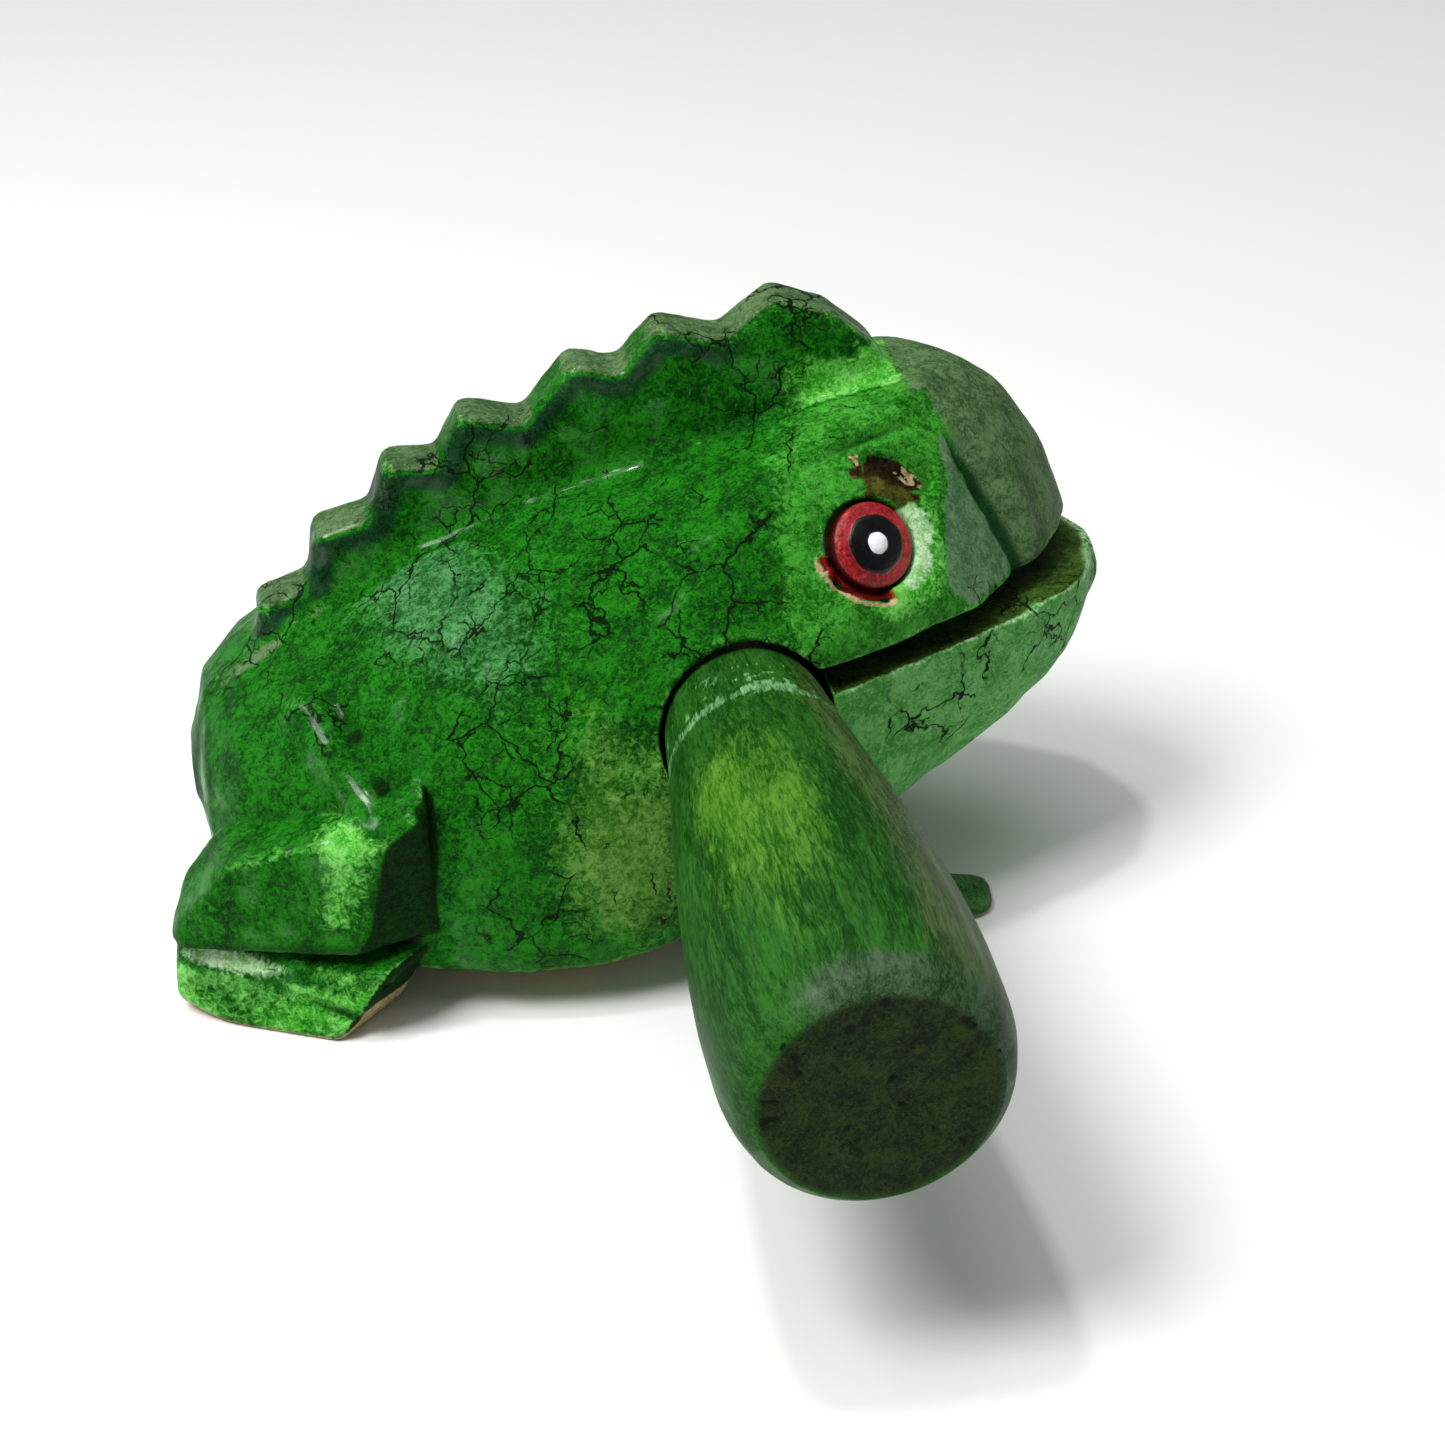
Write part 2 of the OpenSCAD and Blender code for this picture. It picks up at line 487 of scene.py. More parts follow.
@dataclass(frozen=True)
class Finish:
    """A painted or stained surface.

    The base colour runs from dark to light streaks. Each tone is laid over it where its zone says.
    """

    name: str
    dark: str
    light: str
    speck: str
    # Roughness of the dull places and of the glossy ones
    roughness: tuple[float, float]
    coat: float
    relief_mm: float
    shine: float
    tones: tuple[Tone, ...] = ()
    streak_mm: Point = (0.5, 0.5, 0.5)
    coat_roughness: float = 0.08
    ior: float = 1.5
    crack: str = "081c04"
    # Zone values from which a tone shows, and from which it covers
    cover: tuple[float, float] = (0.33, 0.78)
    # Crack networks: cell in millimetres, width of a crack in cells, and how rarely they open
    cracks: tuple[Point, ...] = ((4.6, 0.02, 0.47), (2.3, 0.026, 0.55))

    def material(self) -> bpy.types.Material:
        """Builds the shader."""
        made = bpy.data.materials.new(self.name)
        made.use_nodes = True
        tree = made.node_tree
        tree.nodes.clear()
        add = partial(add_node, tree)
        smooth = {"interpolation_type": "SMOOTHSTEP"}
        place = add("TexCoord", {}, "Object")
        stretch = tuple(1 / (MM * size) for size in self.streak_mm)
        brushed = add("VectorMath", {0: place, 1: stretch}, operation="MULTIPLY")
        names = ("Scale", "Detail", "Roughness", "Distortion")
        streak, blotch, speck = (
            add("TexNoise", {"Vector": brushed, **dict(zip(names, values))})
            for values in ((1.0, 6.0, 0.68, 0.9), (0.19, 2.0, 0.5, 0.0), (2.3, 3.0, 0.7, 1.2))
        )
        mixed = add("Math", {0: blotch, 1: 0.5, 2: streak}, operation="MULTIPLY_ADD")
        mixed = add("Math", {0: speck, 1: 0.7, 2: mixed}, operation="MULTIPLY_ADD")
        tone = add("MapRange", {0: mixed, 1: 0.9, 2: 1.32}, **smooth)

        def lay(share: Socket | float, under: object, over: object, **settings: object) -> Socket:
            """Lays one colour over another."""
            return add("Mix", {0: share, 6: under, 7: over}, 2, data_type="RGBA", **settings)

        colour = lay(tone, linear(self.dark), linear(self.light))
        fray = add("Math", {0: streak, 1: 0.9, 2: -0.45}, operation="MULTIPLY_ADD")
        for laid in self.tones:
            zone = add("Attribute", {}, "Fac", attribute_name=laid.zone)
            cover = add("Math", {0: zone, 1: fray}, operation="ADD")
            cover = add("MapRange", {0: cover, 1: self.cover[0], 2: self.cover[1]}, **smooth)
            colour = lay(cover, colour, lay(tone, linear(laid.dark), linear(laid.light)))
        stipple = add("MapRange", {0: speck, 1: 0.56, 2: 0.68, 4: 0.45}, **smooth)
        lit = lay(1.0, colour, linear(self.speck), blend_type="ADD")
        open_crack = self.network(add, place)
        colour = lay(open_crack, lay(stipple, colour, lit), linear(self.crack))
        wet = add("Attribute", {}, "Fac", attribute_name="gloss")
        sheen = add("MapRange", {0: wet, 3: self.roughness[0], 4: self.roughness[1]})
        sheen = add("Math", {0: streak, 1: 0.3, 2: sheen}, operation="MULTIPLY_ADD")
        sheen = add("Math", {0: sheen, 1: -0.15}, operation="ADD", use_clamp=True)
        varnish = add("MapRange", {0: blotch, 1: 0.5, 2: 0.62}, **smooth)
        for part in (wet, self.coat):
            varnish = add("Math", {0: varnish, 1: part}, operation="MULTIPLY")
        height = add("Math", {0: open_crack, 1: -1.8, 2: mixed}, operation="MULTIPLY_ADD")
        depth = self.relief_mm * MM
        bump = add("Bump", {"Height": height, "Strength": 0.7, "Distance": depth})
        inputs = {
            "Base Color": colour,
            "Roughness": sheen,
            "IOR": self.ior,
            "Specular IOR Level": self.shine,
            "Coat Weight": varnish,
            "Coat Roughness": self.coat_roughness,
            "Normal": bump,
        }
        add("OutputMaterial", {"Surface": add("BsdfPrincipled", inputs)})
        return made

    def network(self, add: Callable[..., Socket], place: Socket) -> Socket:
        """Fine cracks between cells, long and short, where the piece's own mask lets them open."""
        allow = add("Attribute", {}, "Fac", attribute_name="crack")
        lines = []
        for cell, width, rarity in self.cracks:
            scaled = add("VectorMath", {0: place, 1: (1 / (MM * cell),) * 3}, operation="MULTIPLY")
            stray = add("TexNoise", {"Vector": scaled, "Scale": 3.2, "Detail": 3.0}, "Color")
            bend = {0: stray, 1: (0.42,) * 3, 2: scaled}
            bent = add("VectorMath", bend, operation="MULTIPLY_ADD")
            cells = {"Vector": bent, "Scale": 1.0}
            edge = add("TexVoronoi", cells, "Distance", feature="DISTANCE_TO_EDGE")
            ramp = {0: edge, 1: width, 2: width * 0.35}
            line = add("MapRange", ramp, interpolation_type="SMOOTHSTEP")
            where = add("TexNoise", {"Vector": scaled, "Scale": 0.9, "Detail": 2.0})
            where = add("Math", {0: allow, 1: 0.3, 2: where}, operation="MULTIPLY_ADD")
            opened = add("MapRange", {0: where, 1: rarity + 0.2, 2: rarity + 0.26})
            lines.append(add("Math", {0: line, 1: opened}, operation="MULTIPLY"))
        return add("Math", dict(enumerate(lines)), operation="MAXIMUM")


# Acrylic paint brushed wet over rubberwood and varnished: mottled greens that change from part to
# part, with the varnish's soft highlights and the fine dark cracks of paint that dried too fast.
# Some tones below are painted highlights and painted shade, not paint colours.
FROG_PAINT = Finish(
    name="acrylic_brushed_under_crackled_varnish",
    dark="033604",
    light="1e8010",
    tones=(
        Tone("head", "0c5604", "46a632"),
        Tone("olive_flank", "347216", "70a048"),
        Tone("jaw", "34862c", "78bc6c"),
        # sheen: painted highlight, a pale soft patch on the upper flank below the crest
        Tone("sheen", "17531a", "529456"),
        Tone("olive_top", "305028", "668656"),
        # Dark teal paint on the teeth's sides, and painted shade in the step beside the snout
        Tone("teal", "022a0a", "1c4a26"),
        # Painted highlights on convex edges, the shin's lit bend and round the eye, plus brighter
        # paint at the crest's front and along the foot
        Tone("bright", "269a0e", "80d662"),
        # Pale mint painted highlights: the crescent beside each eye, the glint on the foot's top and
        # the lit rim of the lower jaw
        Tone("mint", "74bc58", "d2f2c8"),
        Tone("band", "426a40", "70966c"),
        # Painted shade: the knee's forward face, under the shin and low at the front legs
        Tone("knee", "001600", "0a3406"),
        # Painted shade inside the sawn mouth
        Tone("mouth", "1a2c04", "446624"),
        Tone("amber", "2a2a08", "5a5a1e"),
        Tone("chip", "080502", "3a2414"),
        Tone("smear", "3c0806", "a01c20"),
        Tone("bare", "96835a", "cbb98c"),
        Tone("shade", "021a02", "0a2c06"),
    ),
    streak_mm=(0.5, 0.42, 0.5),
    roughness=(0.46, 0.22),
    coat=0.7,
    coat_roughness=0.14,
    ior=1.47,
    relief_mm=0.2,
    shine=0.06,
    speck="123c06",
)

# Spirit stain on a turned hardwood stick, handled until satin: long streaks run with the grain,
# the cut end drinks the stain and goes dark.
# Some tones below are painted highlight and painted shade: the lit side, the far side and the rim.
STRIKER_STAIN = Finish(
    name="hardwood_turned_and_stained",
    dark="0a3806",
    light="2a621c",
    tones=(
        # Painted highlight: a lighter yellow-green strip along the stick's upper left side, toward
        # the key lamp
        Tone("yellow_painted_highlight", "286010", "568828"),
        # Painted shade: the stick's side turned away from the key lamp goes greyer
        Tone("grey_painted_shade", "243e14", "4c6634"),
        Tone("ring", "1f5a1c", "7cae78"),
        # rim: painted highlight along the head's rounded rim, on the upper right
        Tone("rim", "1c3616", "445e40"),
        Tone("end", "041500", "2a3c14"),
        Tone("pore", "040a01", "0c1604"),
        Tone("bare", "96835a", "cbb98c"),
    ),
    streak_mm=(0.35, 2.2, 0.35),
    roughness=(0.52, 0.34),
    coat=0.3,
    coat_roughness=0.3,
    ior=1.45,
    relief_mm=0.06,
    shine=0.1,
    speck="1c2c14",
)

# Oil enamel over a turned wooden button: it flows out to a smooth, wet-looking gloss.
EYE_RED = Finish(
    name="oil_enamel_red_brushed",
    dark="6a0a0c",
    light="c8242c",
    speck="301008",
    roughness=(0.3, 0.12),
    coat=0.8,
    relief_mm=0.1,
    shine=0.4,
    tones=(Tone("shade", "1a0404", "4a0a08"),),
)
EYE_BLACK = Finish(
    name="oil_enamel_black_dotted",
    dark="020203",
    light="0b0c0e",
    speck="020204",
    roughness=(0.26, 0.1),
    coat=0.3,
    relief_mm=0.06,
    shine=0.3,
)
EYE_WHITE = Finish(
    name="oil_enamel_white_dotted",
    dark="e6e9ec",
    light="fbfcfd",
    speck="020202",
    roughness=(0.35, 0.2),
    coat=0.5,
    coat_roughness=0.1,
    relief_mm=0.03,
    shine=0.4,
)


def dress(
    piece: Object,
    zones: dict[str, Array],
    finishes: Sequence[Finish],
    stands_for: tuple[str, str, str],
) -> None:
    """Finishes a piece and hangs it on the frame.

    Args:
        piece: the piece.
        zones: one number per vertex for each zone that its finishes read.
        finishes: its finishes, in the order of the faces' material numbers.
        stands_for: the CAD node it replaces, a material slot's name, which is not used, and the body
            it rides on.
    """
    for name, values in zones.items():
        attribute = piece.data.attributes.new(name, "FLOAT", "POINT")
        attribute.data.foreach_set("value", np.asarray(values, np.float32))
    for finish in finishes:
        piece.data.materials.append(bpy.data.materials.get(finish.name) or finish.material())
    node, slot, body = stands_for
    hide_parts(node)
    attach(piece, body)
    LOG.info("%s: %d vertices", piece.name, len(piece.data.vertices))


# ---- the frog


@dataclass
class FrogBody:
    """The frog's one carved piece: trunk, head, crest and legs."""

    place: Point
    pitch: float
    # The trunk's sections from tail to lower lip:
    # x, half width, top, bottom, height of the widest line, upper and lower roundness
    sections: tuple[tuple[float, ...], ...] = (
        (-35.2, 2.5, 13, 8, 10.5, 2, 2.2),
        (-34.2, 7.8, 16.8, 4.8, 10.5, 2, 2.5),
        (-31.8, 11.8, 19.4, 3.2, 10, 2, 3),
        (-28, 14.8, 22, 2.2, 9, 2, 4),
        (-21, 17.3, 26.2, 1.7, 8.5, 2, 5),
        (-13, 18.7, 29.6, 1.4, 9, 2, 5),
        (-6, 18.4, 31.8, 1.4, 12, 2.1, 4.8),
        (0, 17.1, 33.4, 2.6, 17.5, 2.4, 4),
        (5, 15.8, 34.9, 4.8, 20, 2.7, 3.8),
        (10, 14.1, 36.3, 6.8, 21.5, 2.8, 3.6),
        (15, 12.1, 37, 9.4, 22.5, 2.5, 3.4),
        (19.5, 10, 35.2, 11.8, 23, 2.2, 3.2),
        (22.8, 7.9, 30.8, 13.9, 22.8, 2.1, 2.8),
        (24.8, 5.9, 25.8, 15.6, 22.4, 2, 2.4),
        (26.85, 2.4, 22.8, 18.6, 21.4, 2, 2),
    )
    notches: tuple[tuple[float, float], ...] = (
        (-35.1, 9.5), (-34.3, 14.4), (-30.1, 20), (-26.7, 24.2), (-22.3, 28.8),
        (-17.7, 32.2), (-12, 34.7), (-5.8, 37.7), (1, 39.5),
    )
    crowns: tuple[tuple[float, float], ...] = (
        (-34.9, 13.2), (-33.5, 17.6), (-30.2, 22.9), (-26, 27.8), (-21.2, 32.4),
        (-16.1, 35.5), (-8.9, 38.5), (-3.3, 40.6), (4.2, 42.2),
    )
    crest_nose: tuple[tuple[float, float], ...] = ((8, 41), (10.8, 38.7), (12.4, 36.4), (12.4, 34))
    crest_root: tuple[tuple[float, float], ...] = ((0, 29), (-16, 24), (-28, 17), (-32, 9.5))
    crest_half: float = 2.1
    tooth_round: float = 0.55
    hole_z: float = 19.5
    hole_r: float = 5.64
    hole_drop: float = 0.3
    mouth_rise: float = 1.5
    mouth_gap: float = 1.8
    mouth_tilt: float = 7.0
    eye_at: Point = (8.9, -12, 29.3)
    eye_turn: float = 20.0
    eye_tilt: float = 34.0
    pit_r: float = 3.05
    pit_deep: float = 1.5
    left_leg_shift: float = 2.4
    # Directions out of the flat behind the snout and out of the step's wall, on the right side
    band_face: Point = (0.636, -0.643, 0.428)
    step_wall: Point = (0.627, 0.754, 0.201)

    @property
    def eye_axis(self) -> Array:
        """Direction that the right eye looks in."""
        turn, tilt = math.radians(self.eye_turn), math.radians(self.eye_tilt)
        level = math.cos(tilt)
        return np.array([math.sin(turn) * level, -math.cos(turn) * level, math.sin(tilt)])

    def over_mouth(self, x: Array, z: Array) -> Array:
        """Height over the mouth's middle."""
        return z - self.hole_z - self.mouth_rise - math.tan(math.radians(self.mouth_tilt)) * x

    def crest_outline(self) -> list[tuple[float, float]]:
        """The crest's side view, tooth by tooth."""
        teeth = [point for pair in zip(self.notches, self.crowns) for point in pair]
        return [*teeth, *self.crest_nose, *self.crest_root]

    def section(self, x: Array) -> list[Array]:
        """The trunk's section values at each x, along smooth curves through the sections."""
        table = np.array(self.sections)
        place = np.interp(x, table[:, 0], np.arange(len(table)))
        index = np.clip(np.floor(place).astype(int), 0, len(table) - 2)
        share = (place - index)[..., None]
        rows = [table[np.clip(index + step, 0, len(table) - 1)] for step in (-1, 0, 1, 2)]
        a, b, c, d = rows
        curve = 2 * b + (c - a) * share + (2 * a - 5 * b + 4 * c - d) * share**2
        curve = (curve + (3 * b - a - 3 * c + d) * share**3) / 2
        return [curve[..., i] for i in range(1, 7)]

    def trunk(self, x: Array, y: Array, z: Array) -> Array:
        """The smooth trunk before any knife work."""
        half, top, bottom, waist, upper, lower = self.section(x)
        rise = z - waist
        reach = np.where(rise > 0, top - waist, waist - bottom)
        power = np.where(rise > 0, upper, lower)
        spread = (np.abs(y) / half) ** power + (np.abs(rise) / reach) ** power
        skin = (spread ** (1 / power) - 1) * np.minimum(half, reach)
        ends = np.maximum(self.sections[0][0] - x, x - self.sections[-1][0])
        return np.maximum(skin, ends + 0 * skin)

    def crest(self, x: Array, y: Array, z: Array) -> Array:
        """Saw-tooth crest, a little thicker towards its root."""
        side_view = outline_distance(x, z, self.crest_outline())
        for axis in (0, 2):
            side_view = soften(side_view, axis, self.tooth_round / self.pitch)
        half = self.crest_half + 0.11 * np.clip(-side_view, 0, 9)
        return smooth_max(side_view, (np.abs(y) - half) * 0.99, 1.0)

    def carve_scoops(self, clay: Clay) -> None:
        """Scoops shallow dishes all over the trunk, as a broad gouge leaves them."""
        spots = [(-31 + 4.1 * i, 22 + 29 * j + 13 * (i % 2)) for i in range(13) for j in range(5)]
        for number, (x, angle) in enumerate(spots):
            half, top, _, waist, upper, _ = (float(v) for v in self.section(np.array(x)))
            turn = math.radians(angle)
            side = half * abs(math.cos(turn)) ** (2 / upper)
            skin = np.array([[x, -side * math.copysign(1, math.cos(turn)), waist]])
            skin[0, 2] += (top - waist) * abs(math.sin(turn)) ** (2 / upper)
            normal = clay.normals(skin, 1.5)[0]
            sweep = 26 + 9 * math.sin(number * 2.4)
            depth = 0.2 + 0.1 * math.sin(number * 5.3)
            point = skin[0] - normal * (clay.sample(skin)[0] + depth)
            clay.cut(ball(point + normal * sweep, sweep), 0.3, point - 6, point + 6)

    def carve_head(self, clay: Clay) -> None:
        """Cuts the cheek's flat, the snout's rounded front faces and the notch between them."""
        snout = ball((6.39, 6.44, 21.19), 20.1)
        low, high = (9, -17, 23.2), (29, 17, 40)
        band = flat(-np.array(self.band_face), (13.7, -9.3, 30.7))
        wall = flat(self.step_wall, (17.2, -7.5, 28.9))
        front = mirrored(lambda x, y, z: np.maximum(-snout(x, y, z), -wall(x, y, z)))
        clay.cut(front, 0.5, low, high)
        bevel = mirrored(lambda x, y, z: np.maximum(band(x, y, z), wall(x, y, z)))
        clay.cut(bevel, 0.2, (8, -17, 22.6), (29, 17, 40))
        step = [
            ((14.7, -8.05, 35.75), 2.2),
            ((16.7, -8.75, 33.35), 3.0),
            ((17.9, -9.25, 30.85), 3.1),
            ((19.3, -9.65, 28.65), 3.1),
            ((20.9, -10.25, 25.75), 3.3),
        ]
        for (start, radius), (end, end_radius) in pairwise(step):
            gouge = rod(start, end, radius, end_radius)
            beyond = mirrored(lambda x, y, z, g=gouge: np.maximum(g(x, y, z), -wall(x, y, z)))
            clay.cut(beyond, 0.3, low, high)
        for normal in (self.eye_axis, np.array([0.03, -0.79, 0.62])):
            cheek = flat(-normal, tuple(np.array(self.eye_at) - unit(normal) * 0.25))
            clay.cut(mirrored(cheek), 0.5, (-8, -19, 16), (24, 19, 38))
        crease = rod((4.0, -8.9, 33.6), (12.4, -6.6, 35.1), 0.5, 0.3)
        clay.cut(mirrored(crease), 0.6, (0, -14, 30), (16, 14, 38))

    def hind_leg(self, clay: Clay, side: Side) -> None:
        """Thigh, shin and splayed foot, each cut as a block with flats."""
        forward = self.left_leg_shift if side is Side.LEFT else 0.0
        low = (-38.4, -20.4 if side is Side.RIGHT else 7, -0.8)
        high = (-15, -7 if side is Side.RIGHT else 20.4, 22.5)

        def stand(form: Form, blend: float) -> None:
            """Leaves a part of the leg standing."""
            clay.add(placed(form, side, forward), blend, low, high)

        def notch(form: Form, blend: float) -> None:
            """Cuts into the leg."""
            clay.cut(placed(form, side, forward), blend, low, high)

        thigh = rod((-27.4, -9.4, 19.2), (-23.4, -15.4, 14.6), 1.2, 1.8)
        stand(thigh, 1.2)
        shin = block(
            [
                ((-0.34, -0.935, 0.1), (-29, -17.6, 6.5)),
                ((0.24, -0.967, -0.03), (-24.4, -18.8, 10.8)),
                ((1, 0.05, 0.02), (-20.2, -17, 10)),
                ((-0.33, -0.55, 0.77), (-27.7, -17.0, 13.8)),
                ((-0.36, 0.02, 0.93), (-27.7, -16.5, 14.2)),
                ((-0.8, -0.12, 0.6), (-34.6, -14.8, 9.9)),
                ((-0.93, -0.35, 0.1), (-37.2, -13.5, 6)),
                ((-0.96, 0.25, 0.1), (-37.2, -13.2, 6)),
                ((0.1, 0.06, -0.99), (-30, -16.5, 6.0)),
                ((0, 1, 0), (-28, -10.5, 10)),
            ],
            0.55,
        )
        stand(shin, 0.3)
        foot = block(
            [
                ((-0.40, -0.9, 0.16), (-31.5, -17.0, 0.5)),
                ((0.62, -0.6, -0.5), (-23.4, -17.7, 3)),
                ((0.9, 0.1, -0.42), (-21.6, -15, 3)),
                ((-0.1, -0.22, 0.97), (-30, -16, 5.45)),
                ((-0.42, -0.72, 0.55), (-31.5, -16.6, 4.2)),
                ((-0.85, -0.5, 0.1), (-37.1, -13.6, 3)),
                ((-0.96, 0.25, 0), (-37.2, -13.2, 3)),
                ((-0.55, -0.45, -0.7), (-36.2, -14.4, 0.8)),
                ((0, 1, 0), (-28, -9.8, 3)),
                ((0, 0, -1), (-28, -15, 0.0)),
            ],
            0.5,
        )
        stand(foot, 0.1)
        groove = (
            (-25.9, -9.3, 20.6),
            (-24.5, -12.2, 18.9),
            (-22.2, -15.6, 17.6),
            (-20.0, -18.4, 16.2),
        )
        for start, end in pairwise(groove):
            notch(rod(start, end, 0.55, 0.65), 0.5)
        for start, end in (
            ((-31.0, -17.2, 3.1), (-24.8, -19.6, 1.7)),
            ((-28.2, -16.9, 4.9), (-22.0, -18.9, 3.6)),
        ):
            notch(rod(start, end, 0.3, 0.45), 0.4)

    def front_leg(self, clay: Clay, side: Side) -> None:
        """Front leg from the chest to the toes."""
        low = (1, -15.6 if side is Side.RIGHT else 5, -0.8)
        high = (19.6, -5 if side is Side.RIGHT else 15.6, 14)
        upper = rod((5, -9.6, 10), (8.6, -10.3, 3), 3.2, 2.7)
        clay.add(placed(upper, side, 0), 1.2, low, high)
        foot = block(
            [
                ((0.3, -0.95, 0.3), (12.5, -13.7, 1)),
                ((-0.12, 0.95, 0.25), (12.5, -8.9, 1)),
                ((0.28, 0, 0.96), (12.5, -11, 3.0)),
                ((1, -0.15, 0.35), (18.2, -12, 1)),
                ((-1, 0, 0.1), (5.6, -11, 1)),
                ((0, 0, -1), (12, -11, 0.0)),
            ],
            1.0,
        )
        clay.add(placed(foot, side, 0), 0.8, low, high)
        for offset in (-0.9, 0.9):
            toe = rod((13.5, -11.6 + offset, 3.1), (19, -12.6 + offset, 1.4), 0.25, 0.5)
            clay.cut(placed(toe, side, 0), 0.4, low, high)

    def carve_openings(self, clay: Clay) -> None:
        """Cheek hole, sawn mouth and the eyes' pits."""
        axle = drill((0, 0, self.hole_z - self.hole_drop), (0, 1, 0), self.hole_r, 60)
        clay.cut(axle, 0.18, (-8, -20.5, 11), (8, 20.5, 28))

        def saw(x: Array, y: Array, z: Array) -> Array:
            """Distance to the saw's slot, from the hole forward."""
            off = np.abs(self.over_mouth(x, z)) * math.cos(math.radians(self.mouth_tilt))
            return np.maximum(off - self.mouth_gap / 2, 0.5 - x + 0 * y)

        clay.cut(saw, 0.45, (0, -20, 19), (28, 20, 28))
        pit = drill(self.eye_at, tuple(self.eye_axis), self.pit_r, self.pit_deep)
        clay.cut(mirrored(pit), 0.3, (3, -17, 23), (15, 17, 36))
        for start, end, radius in (
            ((6.3, -13.2, 27.3), (9.3, -13.4, 26.2), 0.5),
            ((9.6, -9.2, 33.9), (12.9, -8.9, 32.2), 1.3),
        ):
            clay.cut(mirrored(rod(start, end, radius, radius)), 0.25, (3, -17, 23), (16, 17, 37))

    def carve(self) -> Clay:
        """Carves the whole frog."""
        clay = Clay((-38.6, -20.6, -1.0), (28.2, 20.6, 43.4), self.pitch)
        clay.add(self.trunk)
        clay.even_out()
        self.carve_scoops(clay)
        self.carve_head(clay)
        clay.add(self.crest, 1.2, (-38, -8, 8), (16, 8, 43.4))
        for side in Side:
            self.hind_leg(clay, side)
            self.front_leg(clay, side)
        self.carve_openings(clay)
        clay.cut(lambda x, y, z: z + 0 * x + 0 * y, 0)
        return clay

    def crack_mask(self, points: Array) -> Array:
        """Where the paint has cracked: flanks and cheeks most, snout, feet and toes hardly."""
        x, y, z = points.T
        mask = 0.6 + 0.6 * rough(points, 8.0, 40)
        mask -= 1.4 * ease(x, -17, -22) * ease(z, 20, 15)
        mask -= 1.2 * ease(x + 0.55 * (z - 30), 14.5, 16.5) * ease(z, 22, 25)
        mask -= 1.2 * ease(self.round_the_eye(points)[0], 7, 5.5)
        return mask - 1.5 * ease(z, 3, 1)

    def paint(self, clay: Clay, points: Array, normals: Array) -> dict[str, Array]:
        """Where each colour of the paint, painted highlight and painted shade lies, from 0 to 1 at
        each vertex.
        """
        x, y, z = points.T
        side, up = np.abs(y), normals[:, 2]
        edge = clay.sharpness(points, 0.7)
        stray = rough(points, 5.0, 21) * 0.22

        def spot(at_x: float, at_z: float, wide: float, high: float) -> Array:
            """Soft round patch."""
            return np.exp(-(((x - at_x) / wide) ** 2 + ((z - at_z) / high) ** 2))

        # Crest, head, mouth and hole
        depth = outline_distance(x, z, self.crest_outline())
        crest = ease(side, 4.0, 3.0) * ease(depth, 0.9, -0.3)
        head = ease(x + stray * 10, 0, 5) * (1 - crest)
        over_mouth = self.over_mouth(x, z)
        below = ease(over_mouth, 0.3, -0.3) * ease(x, 4, 7)
        # Painted shade inside the mouth's slot, where little light reaches
        in_mouth_shade = ease(np.abs(over_mouth), self.mouth_gap / 2 + 0.5, self.mouth_gap / 2 + 0.1)
        in_mouth_shade *= ease(np.abs(up), 0.55, 0.85) * ease(x, 0, 4)
        off_axis = np.hypot(x, z - self.hole_z + self.hole_drop)
        in_hole = ease(off_axis, self.hole_r + 0.15, self.hole_r + 0.02)
        crest_top = crest * ease(up, 0.5, 0.8) * ease(depth, -2.2, -0.8)
        # Round the eyes: angles run up from straight forward
        around, angle, off = self.round_the_eye(points)
        near_eye = ease(off, 3.4, 2.4)
        fray = 0.35 * rough(points, 0.8, 22)
        # Painted highlights beside each eye: a pale crescent and a wider, lighter ring
        beside_eye_highlight = ease(around + fray, 5.1, 3.4) * ease(np.cos(angle + 0.05), 0.45, 0.8) * near_eye
        eye_highlight_halo = ease(around + fray, 7.0, 4.0) * ease(np.cos(angle + 0.5), 0.2, 0.7) * near_eye
        above_eye = ease(np.cos(angle - 1.2 + 0.6 * fray), 0.84, 0.93) * near_eye
        chip = ease(np.abs(around - 5.1 + fray), 0.95, 0.6) * above_eye
        scratches = ease(np.abs(rough(points, 1.5, 24)), 0.12, 0.04) * ease(around, 4.4, 4.9) * chip
        low_wall = ease(np.cos(angle + 2.1), 0.5, 0.75) * near_eye
        lip = ease(np.abs(around - 3.85 + 0.4 * fray), 0.22, 0.1) * low_wall
        # Snout, the flat behind it and the step between them
        snout = ease(x + 0.55 * (z - 30) + stray * 4, 15.6, 17.6) * (1 - below)
        snout = np.maximum(snout, ease(x, 11, 13.5) * ease(up, 0.75, 0.9) * ease(side, 7.5, 6))
        facing = (normals * [1, 0, 1] + np.abs(normals[:, 1:2]) * [0, -1, 0]) @ unit(self.band_face)
        beyond = np.array([x - 17.2, 7.5 - side, z - 28.9]).T @ unit(self.step_wall)
        on_face = ease(z, 23, 24.5) * ease(z, 35.5, 34.5) * ease(side, 5.5, 6.5)
        band = ease(facing, 0.95, 0.985) * ease(beyond, 0.3, 0.0) * on_face
        # The step's groove gets painted shade, laid with the teal tone
        step = ease(beyond, -0.1, 0.25) * ease(beyond, 1.9, 0.6) * on_face
